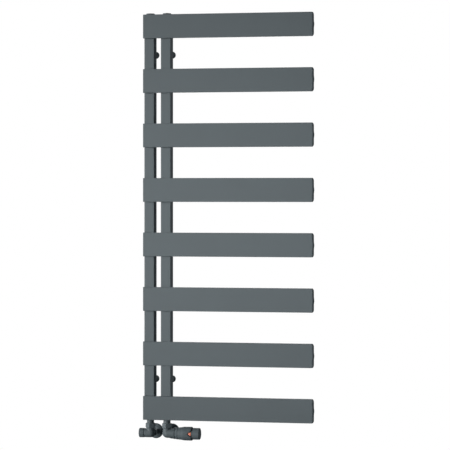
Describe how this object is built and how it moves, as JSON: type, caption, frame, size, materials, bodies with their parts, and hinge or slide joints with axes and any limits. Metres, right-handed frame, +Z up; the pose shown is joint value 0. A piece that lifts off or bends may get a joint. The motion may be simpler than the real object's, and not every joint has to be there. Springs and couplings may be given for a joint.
{
  "type": "towel radiator with valves",
  "caption": "Asymmetric towel radiator: wide flat panels cantilevered from two vertical collectors, with a thermostatic valve, a lockshield valve and wall brackets.",
  "frame": {"origin": "centre of the lower left bracket's wall face, in the wall plane", "axes": "+Z up along the collectors, +Y into the wall, +X to the right along the panels as seen from the room"},
  "size_m": [0.5279, 0.0912, 1.2577],
  "materials": {
    "powder_coat": "fine-textured anthracite powder coat, satin",
    "head_plastic": "satin anthracite",
    "copper_marker": "semi-gloss copper orange",
    "brass": "machined",
    "steel": "zinc plated",
    "rubber": "matt",
    "wax_capsule": "moulded"
  },
  "bodies": {
    "radiator": {"panel_1": "powder_coat", "panel_2": "powder_coat", "panel_3": "powder_coat", "panel_4": "powder_coat", "panel_5": "powder_coat", "panel_6": "powder_coat", "panel_7": "powder_coat", "panel_8": "powder_coat", "panel_end_cap_1": "powder_coat", "panel_end_cap_2": "powder_coat", "panel_end_cap_3": "powder_coat", "panel_end_cap_4": "powder_coat", "panel_end_cap_5": "powder_coat", "panel_end_cap_6": "powder_coat", "panel_end_cap_7": "powder_coat", "panel_end_cap_8": "powder_coat", "collector_left": "powder_coat", "collector_right": "powder_coat", "blind_plug": "powder_coat", "blind_plug_seal": "rubber", "air_vent_body": "powder_coat", "air_vent_seal": "rubber", "bracket_lower_left_sleeve": "powder_coat", "bracket_lower_left_stud": "powder_coat", "bracket_lower_left_grub_screw": "steel", "bracket_lower_right_sleeve": "powder_coat", "bracket_lower_right_stud": "powder_coat", "bracket_lower_right_grub_screw": "steel", "bracket_upper_left_sleeve": "powder_coat", "bracket_upper_left_stud": "powder_coat", "bracket_upper_left_grub_screw": "steel", "bracket_upper_right_sleeve": "powder_coat", "bracket_upper_right_stud": "powder_coat", "bracket_upper_right_grub_screw": "steel", "lockshield_body": "powder_coat", "lockshield_insert": "brass", "lockshield_nipple": "powder_coat", "lockshield_union_nut": "powder_coat", "lockshield_tail_nut": "powder_coat", "return_pipe": "powder_coat", "thermostatic_body": "powder_coat", "thermostatic_insert": "brass", "thermostatic_spring": "steel", "thermostatic_nipple": "powder_coat", "thermostatic_union_nut": "powder_coat", "thermostatic_tail_nut": "powder_coat", "supply_pipe": "powder_coat", "head_collar_nut": "powder_coat", "head_sleeve": "head_plastic", "head_marker": "copper_marker"},
    "knob": {"head_knob": "head_plastic"},
    "sensor_and_pin": {"head_sensor": "wax_capsule", "thermostatic_pin": "steel"},
    "lockshield_cap": {"lockshield_cap": "head_plastic"},
    "lockshield_spindle": {"lockshield_spindle": "brass"},
    "lockshield_disc": {"lockshield_disc": "rubber"},
    "air_vent_screw": {"air_vent_screw": "brass"},
    "return_rosette": {"return_rosette": "powder_coat"},
    "supply_rosette": {"supply_rosette": "powder_coat"}
  },
  "joints": [
    {"name": "knob_turn", "type": "hinge", "parent": "radiator", "child": "knob", "pos_m": [0.148, -0.065, -0.155], "axis": [1, 0, 0], "range_deg": [-135, 135]},
    {"name": "pin_slide", "type": "slide", "parent": "radiator", "child": "sensor_and_pin", "axis": [-1, 0, 0], "range_m": [-0.0012, 0.0012], "deforming": ["thermostatic_spring"]},
    {"name": "cap_pull", "type": "slide", "parent": "radiator", "child": "lockshield_cap", "axis": [-1, 0, 0], "range_m": [0, 0.025]},
    {"name": "lockshield_turn", "type": "hinge", "parent": "radiator", "child": "lockshield_spindle", "pos_m": [-0.027, -0.065, -0.155], "axis": [1, 0, 0], "range_deg": [0, 1080]},
    {"name": "disc_slide", "type": "slide", "parent": "radiator", "child": "lockshield_disc", "axis": [1, 0, 0], "range_m": [0, 0.003]},
    {"name": "bleed_turn", "type": "hinge", "parent": "radiator", "child": "air_vent_screw", "pos_m": [0.05, -0.065, 1.08], "axis": [0, 0, 1], "range_deg": [0, 360]},
    {"name": "return_rosette_slide", "type": "slide", "parent": "radiator", "child": "return_rosette", "axis": [0, -1, 0], "range_m": [0, 0.018]},
    {"name": "supply_rosette_slide", "type": "slide", "parent": "radiator", "child": "supply_rosette", "axis": [0, -1, 0], "range_m": [0, 0.018]}
  ],
  "couplings": [
    {"joint": "pin_slide", "follows": "knob_turn", "m_per_rad": 0.000509},
    {"joint": "disc_slide", "follows": "lockshield_turn", "m_per_rad": 0.000159}
  ]
}
